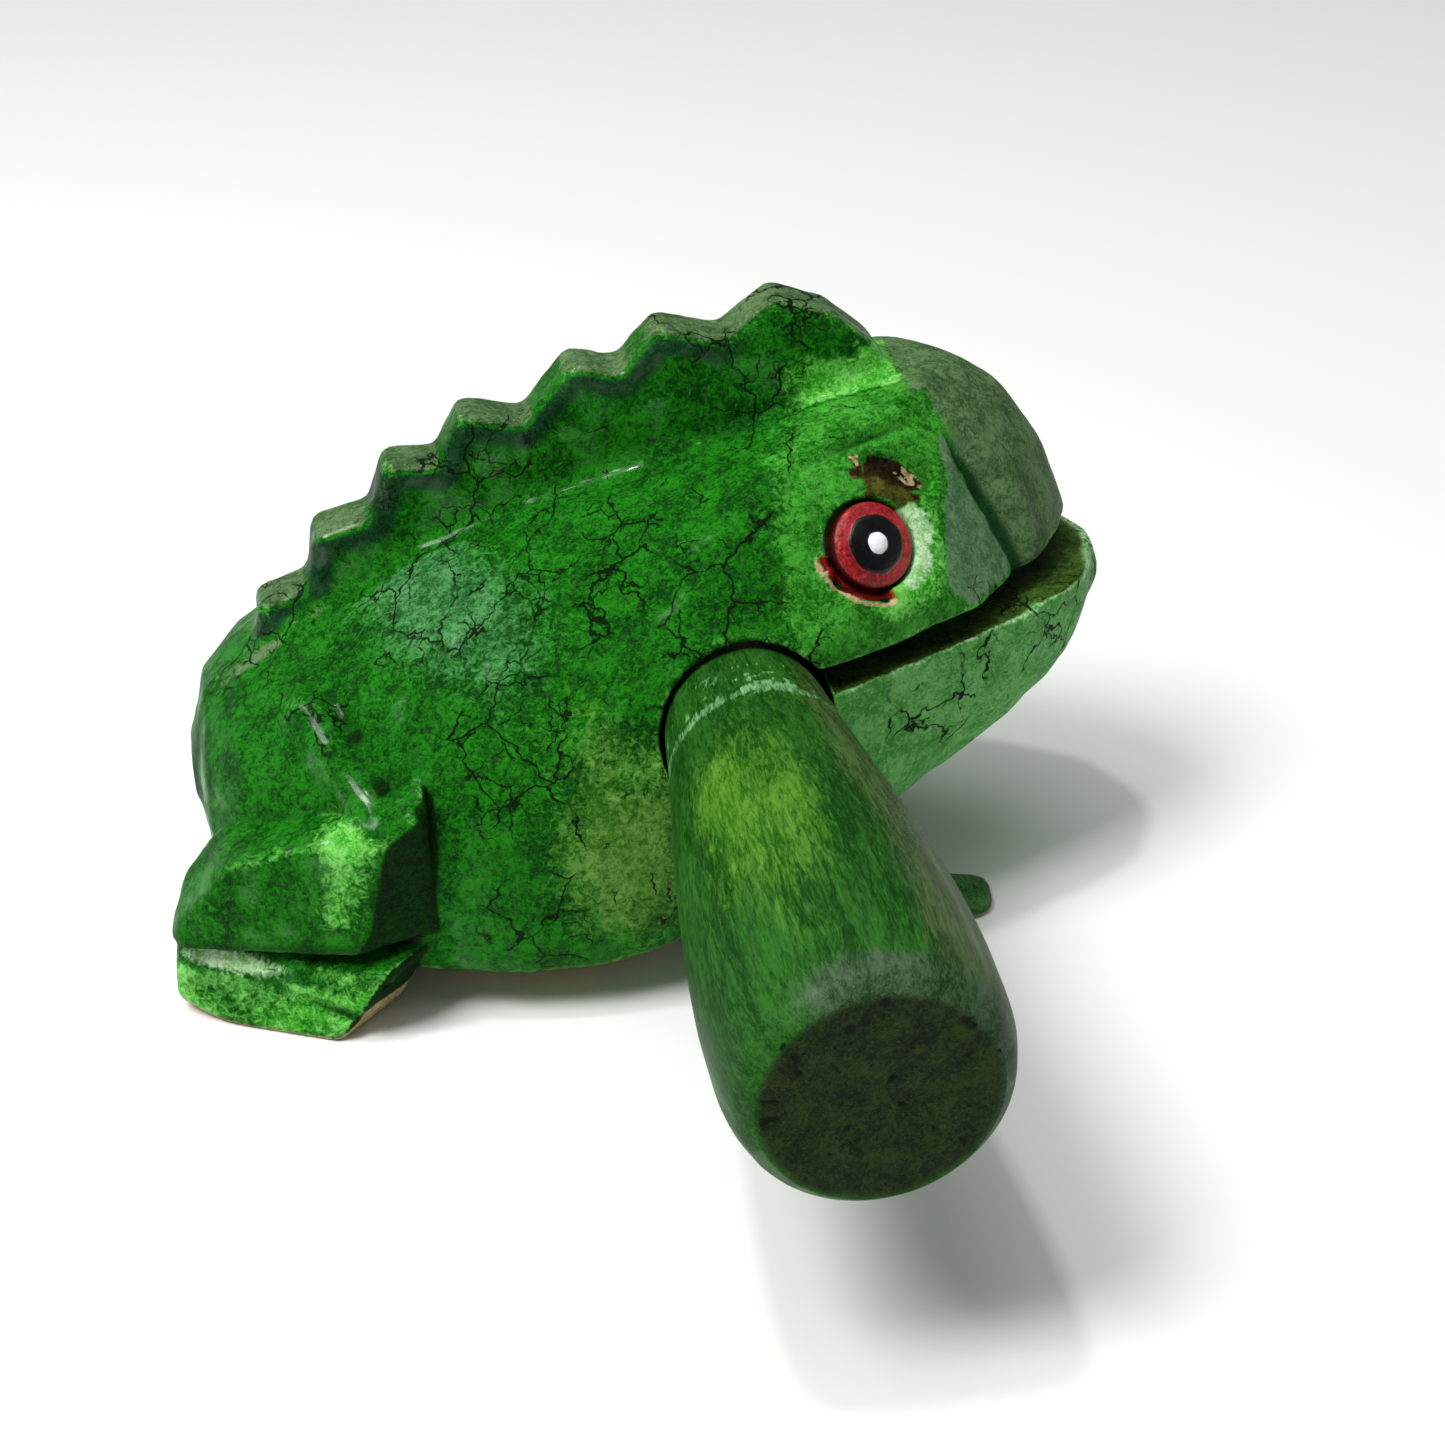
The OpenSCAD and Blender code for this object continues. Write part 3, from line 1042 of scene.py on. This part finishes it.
        # Hind legs
        legs = ease(x, -19.3, -20.4) * ease(z, 19, 16) * ease(side, 12, 14)
        # Painted shade under the shin, just above the groove to the foot
        shin_z = z - 5.75 - 0.1 * (x + 30)
        under_shin_shade = ease(shin_z, 1.9, 0.6) * ease(shin_z, -0.35, 0.1) * legs
        # Painted highlight: a lit strip down the shin's bend
        shin_painted_highlight = np.exp(-(((x + 26.3 - 0.2 * (z - 10)) / 1.8) ** 2)) * ease(z, 7, 9)
        soles = np.maximum(
            ease(z, 2.6, 1.7) * ease(up, -0.2, -0.6), ease(z, 0.5, 0.2) * ease(up, -0.5, -0.9)
        )
        zones = {
            "head": head * 0.9 + stray,
            "olive_flank": 0.72 * spot(-6, 13, 9, 10) * ease(side, 12, 15)
            + 0.7 * ease(z, 4.4, 2.4) * ease(x, -20, -18) * ease(x, 3, 1)
            + stray,
            "jaw": below * 0.95 + stray * 0.5,
            # Painted highlight on the shoulder, where the lamp's light falls
            "sheen": 0.8 * spot(-19.3, 25.5, 8, 4.6) * (1 - crest) + stray,
            "olive_top": np.maximum(crest_top, snout * 0.95) + stray * 0.4,
            # Teal paint on the teeth, plus painted shade in the snout's step
            "teal": crest * ease(depth, -2.6, -0.8) * ease(x, 5, 0) * ease(up, 0.6, 0.3) * 0.9
            + 0.8 * step
            + stray * 0.5,
            # Painted highlights on convex edges, the shin's lit bend and the ring round the eye;
            # brighter paint at the crest's front and along the foot's lower band
            "bright": np.clip(edge * 0.45, 0, 0.5) * (1 - on_face * ease(beyond, -0.2, 0.2))
            + 0.9 * crest * ease(x, 1, 8) * ease(z, 39.5, 37)
            + 0.6 * legs * shin_painted_highlight * ease(z, 16.5, 14.5)
            + 0.5 * legs * ease(z, 4.6, 3.2) * ease(z, 0.3, 1.0)
            + 0.7 * eye_highlight_halo
            + stray,
            # Painted highlights: beside the eye, a glint on the foot's top, the lit rim of the lower
            # jaw
            "mint": beside_eye_highlight * 0.95
            + 0.95 * legs * spot(-33.5, 4.5, 4, 0.8)
            + 0.55 * below * np.clip(edge, 0, 1) * ease(up, 0, 0.4)
            + stray * 0.3,
            "band": band + stray * 0.3,
            # Painted shade on the knee's face turned from the light, under the shin and low at the
            # front
            "knee": 0.85 * legs * ease(normals[:, 0], 0.0, 0.2)
            + 0.6 * under_shin_shade
            + 0.6 * ease(z, 5, 2.5) * ease(x, 3, 5)
            + stray * 0.3,
            # Painted shade inside the mouth
            "mouth": in_mouth_shade,
            "amber": ease(np.abs(around - 4.2 + fray), 1.3, 0.9) * above_eye,
            "chip": chip,
            "smear": ease(np.abs(around - 3.15), 0.7, 0.4) * low_wall,
            "bare": np.maximum(soles, lip + scratches),
            "shade": np.clip(-edge * 0.55, 0, 0.9) + 0.85 * in_hole + stray * 0.3,
        }
        glossy = np.maximum(crest, ease(x, -14, -22)) * 0.5 + 0.4 * np.clip(edge, 0, 1) - 0.5 * head
        glossy *= 0.5 + 0.8 * ease(rough(points, 1.6, 23), 0.0, 0.5)
        zones["gloss"] = np.clip(glossy - 1.5 * zones["knee"], 0, 1)
        return zones

    def round_the_eye(self, points: Array) -> tuple[Array, Array, Array]:
        """Places round either eye, in the plane of its button.

        Args:
            points: places on the skin.

        Returns:
            Distance from the eye's middle, angle from straight forward (up is positive), and
            distance out of the eye's plane.
        """
        axis = self.eye_axis
        forward = unit(np.array([1.0, 0, 0]) - axis * axis[0])
        upward = np.cross(forward, axis) * -1
        offset = points * [1, 0, 1] + np.abs(points[:, 1:2]) * [0, -1, 0] - np.array(self.eye_at)
        ahead, above = offset @ forward, offset @ upward
        return np.hypot(ahead, above), np.arctan2(above, ahead), np.abs(offset @ axis)

    def build(self) -> None:
        """Carves, dents and paints the frog, in place of its CAD node."""
        clay = self.carve()
        points, faces = clay.skin()
        normals = clay.normals(points, 0.45)
        zones = self.paint(clay, points, normals)
        layers = ((0.10, 4.6, 60), (0.055, 1.5, 61), (0.03, 0.75, 62))
        dents = sum(deep * noise(points, size, seed) for deep, size, seed in layers)
        dents *= ease(points[:, 2], 0.1, 1.2)
        points = points + normals * dents[:, None]
        low, high = (np.array(corner) / MM - np.array(self.place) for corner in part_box("frog_body"))
        points = np.clip(points, low, high)
        piece = make_piece("frog_carving", points, faces, self.place)
        zones["crack"] = self.crack_mask(points)
        dress(piece, zones, [FROG_PAINT], ("frog_body", "green_painted_wood", "frog"))


@dataclass
class EyeButton:
    """A wooden button in its pit, enamelled red with a black pupil and a white glint."""

    frog: FrogBody
    side: Side
    radius: float = 2.8
    crown: float = 1.65
    rim: float = 1.15
    pupil: float = 1.85
    glint: float = 0.65
    paint: float = 0.07
    margin: float = 0.051
    sides: int = 96

    def height(self, radius: float) -> float:
        """Height of the bare dome over the pit's floor at a distance from its middle."""
        rise = self.crown - self.rim
        ball_r = (self.radius**2 + rise**2) / (2 * rise)
        return self.crown - ball_r + math.sqrt(max(ball_r**2 - radius**2, 0))

    def profile(self) -> list[tuple[float, float]]:
        """Radius and height from the pit's floor over the rim to the glint's top."""
        full, rim = self.radius, self.rim
        rows = [(0.0, 0.0), (full - 0.1, 0.0), (full, 0.1), (full, rim * 0.6)]
        rows += [(full - 0.03, rim - 0.12), (full - 0.14, rim + 0.02)]
        steps = [(self.pupil, self.radius - 0.3, 0.0), (self.glint, self.pupil, self.paint)]
        for inner, outer, coats in steps:
            for r in np.linspace(outer, inner + 0.05, 7):
                rows.append((float(r), self.height(float(r)) + coats))
        bead = [(self.glint - 0.02, 0.12), (self.glint - 0.12, 0.2), (self.glint * 0.5, 0.27)]
        rows += [(r, self.height(r) + self.paint + h) for r, h in bead]
        rows.append((0.0, self.height(0) + self.paint + 0.3))
        return rows

    def build(self) -> None:
        """Turns the button and paints its three rings, in place of its CAD node."""
        points, faces = lathe(self.profile(), self.sides)
        angle, reach = np.arctan2(points[:, 1], points[:, 0]), np.hypot(points[:, 0], points[:, 1])
        wobble = 1 + 0.02 * np.sin(3 * angle + 1) + 0.014 * np.sin(7 * angle)
        inner = reach < self.radius - 0.2
        points[inner, :2] *= wobble[inner, None]
        points[inner, 2] += 0.03 * noise(points[inner], 0.8, 5)
        turn, tilt = math.radians(self.frog.eye_turn), math.radians(self.frog.eye_tilt)
        stand = Matrix.Rotation(turn, 3, "Z") @ Matrix.Rotation(math.pi / 2 - tilt, 3, "X")
        points[:, 2] -= self.frog.pit_deep
        points = points @ np.array(stand).T + np.array(self.frog.eye_at)
        if self.side is Side.LEFT:
            points[:, 1] *= -1
            faces = [face[::-1] for face in faces]
        side = self.side.name.lower()
        piece = make_piece(f"eye_enamel_{side}", points, faces, self.frog.place)
        zones = {
            "crack": np.full(len(points), -1.0),
            "gloss": np.full(len(points), 0.8),
            "shade": 0.8 * ease(reach, self.radius - 0.12, self.radius),
        }
        dress(piece, zones, [EYE_RED, EYE_BLACK, EYE_WHITE], (f"eye_{side}", "red_enamel", "frog"))
        for polygon in piece.data.polygons:
            if self.is_front(points, polygon):
                rings = np.array([self.glint, self.pupil]) + self.margin
                polygon.material_index = int((reach[list(polygon.vertices)].max() <= rings).sum())

    def is_front(self, points: Array, polygon: bpy.types.MeshPolygon) -> bool:
        """Whether a face lies on the painted front and not on the pit's floor."""
        axis = self.frog.eye_axis * np.array([1, -self.side.value, 1])
        eye = np.array(self.frog.eye_at) * np.array([1, -self.side.value, 1])
        centre = points[list(polygon.vertices)].mean(axis=0)
        return float((centre - eye) @ axis) > -self.frog.pit_deep + 0.5


@dataclass
class Striker:
    """The turned stick that lies in the cheek hole: a fat head, a shoulder and a thin handle."""

    place: Point
    cheek_y: float = 17.0
    handle_r: float = 4.0
    handle_l: float = 54.0
    seat_r: float = 6.0
    sides: int = 176
    step: float = 0.45

    def __post_init__(self) -> None:
        """Reads the stick's length and thickness off its CAD node."""
        low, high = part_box("striker")
        self.head_r = (high.x - low.x) / 2 / MM
        self.head_l = (high.y - low.y) / MM - self.handle_l
        self.axis_z = (low.z + high.z) / 2 / MM

    def profile(self) -> list[tuple[float, float]]:
        """Radius and distance outside the cheek, from the handle's end to the head's flat end."""
        length, top = self.handle_l, self.head_l
        rows = [(self.handle_r - 1.1, -length), (self.handle_r - 0.5, 0.6 - length)]
        rows += [(self.handle_r - 0.2, 2 - length), (self.handle_r, -5.5), (4.2, -4.6), (4.8, -3.4)]
        rows += [(5.2, -2.0), (5.45, 0.0), (5.75, 3.0), (6.0, 5.5)]
        for t in np.arange(8.5, top - 5.5, 4):
            swell = math.sin((t - 5.5) / (top - 11) * math.pi / 2)
            rows.append((self.seat_r + (self.head_r - self.seat_r) * swell, float(t)))
        rounding = ((0.15, 3.4), (0.4, 1.9), (0.8, 0.9), (1.35, 0.25), (1.7, 0.0))
        return rows + [(self.head_r - inward, top - back) for inward, back in rounding]

    def smooth_profile(self) -> list[tuple[float, float]]:
        """The profile with many small steps, closed on the axis at both ends."""
        rows = np.array(self.profile())
        along = np.concatenate([[0], np.cumsum(np.hypot(*np.diff(rows, axis=0).T))])
        fine = np.arange(0, along[-1], self.step)
        kernel = np.exp(-np.linspace(-1.6, 1.6, 9) ** 2)
        kernel /= kernel.sum()
        radius = np.interp(fine, along, rows[:, 0])
        height = np.interp(fine, along, rows[:, 1])
        padded = np.pad(radius, 4, mode="edge")
        radius[4:-4] = np.convolve(padded, kernel, mode="valid")[4:-4]
        discs = np.arange(0.6, rows[-1, 0] - 0.3, 0.6)
        (first, bottom), (last, top) = rows[0], rows[-1]
        start = [(0.0, bottom), *((float(r), bottom) for r in discs if r < first - 0.2)]
        end = [*((float(r), top) for r in discs[::-1]), (0.0, top)]
        return [*start, *zip(radius.tolist(), height.tolist()), (last, top), *end]

    def build(self) -> None:
        """Turns, wears and stains the stick and paints its highlights and shade, in place of its CAD
        node.
        """
        points, faces = lathe(self.smooth_profile(), self.sides)
        reach, out = np.hypot(points[:, 0], points[:, 1]), points[:, 2].copy()
        turned = np.stack([points[:, 0], -self.cheek_y - out, self.axis_z + points[:, 1]], axis=1)
        radial = np.stack([points[:, 0], np.zeros(len(points)), points[:, 1]], axis=1)
        radial /= np.maximum(reach, 1e-6)[:, None]
        on_end = ease(out, self.head_l - 0.05, self.head_l)
        long_grain = noise(turned * [1, 0.12, 1], 0.9, 70) * 0.02 + noise(turned, 7, 71) * 0.05
        ring_wear = np.exp(-(((out - 4.6) / 0.6) ** 2))
        inward = 0.07 + long_grain + 0.05 * ring_wear * rough(turned, 0.8, 72)
        moved = turned - radial * (inward * (1 - on_end) * ease(reach, 1, 3))[:, None]
        pores = ease(noise(turned, 0.55, 73), 0.45, 0.75)
        dish = 0.16 * ease(reach, self.head_r - 2.2, 1) + 0.12 * pores
        dish += 0.05 * noise(turned, 1.6, 74)
        moved[:, 1] += np.clip(dish * on_end, 0.0, None)
        piece = make_piece("striker_stick", moved, faces, self.place)
        turn_x, turn_z = radial[:, 0], radial[:, 2]
        stray = rough(turned * [1, 0.3, 1], 2.4, 75) * 0.25
        side = (1 - on_end) * ease(out, -8, 2)
        near_end = ease(out, self.head_l - 3.5, self.head_l - 0.8)
        # The side that faces the key lamp, upper left
        toward_key_lamp = ease(turn_z - 0.48 * turn_x, 0.8, 1.11)
        scratches = ease(np.abs(rough(turned * [1, 2.5, 1], 1.3, 77)), 0.14, 0.04)
        zones = {
            # Painted highlight along the lit side
            "yellow_painted_highlight": 0.78 * side * toward_key_lamp * np.exp(-(((out - 18) / 12) ** 2)) + stray,
            # Painted shade on the side away from the key lamp
            "grey_painted_shade": side * ease(turn_x + 0.3 * turn_z, 0.35, 0.9) * 0.9 + stray,
            "ring": ring_wear * (0.7 + 0.5 * rough(turned, 0.7, 76))
            + 0.7 * scratches * ease(out, 6.0, 4.5) * ease(out, 0, 1),
            "end": on_end * ease(reach, self.head_r - 1.0, self.head_r - 2.6),
            # Painted highlight on the end's rounded rim
            "rim": 0.9 * near_end * ease(turn_x + turn_z, -0.6, 0.8) + stray,
            "bare": ease(out, 1.5 - self.handle_l, 0.2 - self.handle_l) * 0.7 + stray * 0.5,
            "gloss": 0.4 * side,
            "crack": np.full(len(points), -1.0),
            "pore": pores * on_end,
        }
        dress(piece, zones, [STRIKER_STAIN], ("striker", "green_stained_wood", "striker"))


# ---- the studio


@dataclass
class Studio:
    """Plain pale floor, soft lights and the camera."""

    place: Point
    floor_half: float = 3.0
    lens: float = 59.8
    azimuth: float = -9.7
    elevation: float = 30.0
    stand_off: float = 150.0

    def floor(self) -> None:
        """Matt white board under the frog."""
        half = self.floor_half
        mesh = bpy.data.meshes.new("floor")
        corners = [(-half, -half, 0), (half, -half, 0), (half, half, 0), (-half, half, 0)]
        mesh.from_pydata(corners, [], [(0, 1, 2, 3)])
        board = put("floor", mesh)
        paint = bpy.data.materials.new("board_matt_white")
        paint.use_nodes = True
        shader = paint.node_tree.nodes["Principled BSDF"]
        shader.inputs["Base Color"].default_value = linear("f4f4f2")
        shader.inputs["Roughness"].default_value = 0.9
        mesh.materials.append(paint)
        board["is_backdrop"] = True

    def lamp(self, name: str, at: Point, size: float, watts: float, tint: str) -> None:
        """Square soft light aimed at the frog."""
        data = bpy.data.lights.new(name, "AREA")
        data.size, data.energy = size, watts
        data.color = linear(tint)[:3]
        lamp = put(name, data)
        lamp.location = at
        aim = Vector((0, 0, 0.02)) - Vector(at)
        lamp.rotation_euler = aim.to_track_quat("-Z", "Y").to_euler()

    def camera(self) -> None:
        """Camera above the frog's right side, a little behind its cheek."""
        turn, lift = math.radians(self.azimuth), math.radians(self.elevation)
        right = Vector((math.cos(turn), math.sin(turn), 0))
        ahead = Vector((-math.sin(turn), math.cos(turn), 0))
        look = math.cos(lift) * ahead - math.sin(lift) * Vector((0, 0, 1))
        up = right.cross(look)
        hole = Vector(self.place) + Vector((0, -17, 19.5))
        eye = hole - self.stand_off * look - 1.744 * right + 0.456 * up
        data = bpy.data.cameras.new("camera")
        data.lens, data.sensor_width = self.lens, 36.0
        data.clip_start, data.clip_end = 0.01, 20
        camera = put("camera", data)
        camera.location = eye * MM
        camera.rotation_mode = "QUATERNION"
        camera.rotation_quaternion = look.to_track_quat("-Z", "Y")
        bpy.context.scene.camera = camera

    def build(self) -> None:
        """Sets up the whole studio."""
        scene = bpy.context.scene
        scene.view_settings.view_transform = "Standard"
        world = bpy.data.worlds.new("studio")
        world.use_nodes = True
        sky = world.node_tree.nodes["Background"]
        sky.inputs["Color"].default_value = linear("f2f5f7")
        sky.inputs["Strength"].default_value = 0.22
        scene.world = world
        self.floor()
        self.lamp("overhead", (-0.25, 0.1, 1.5), 1.6, 10.0, "ffffff")
        self.lamp("key", (-0.22, -0.10, 0.38), 0.16, 1.5, "ffffff")
        self.lamp("glint", (-0.1, 0.0, 0.5), 0.03, 0.5, "ffffff")
        self.camera()


def main() -> None:
    """Builds the frog, its eyes, its striker and the studio."""
    place = (middle("striker", 0), middle("frog_body", 1), 0.0)
    pitch = 0.26
    frog = FrogBody(place=place, pitch=pitch)
    frog.build()
    for side in Side:
        EyeButton(frog=frog, side=side).build()
    Striker(place=place).build()
    Studio(place=place).build()
    boxes = {"cad": CAD_BOX, "visual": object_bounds()}
    {name: [list(corner) for corner in box] for name, box in boxes.items()}


if __name__ == "__main__":
    main()
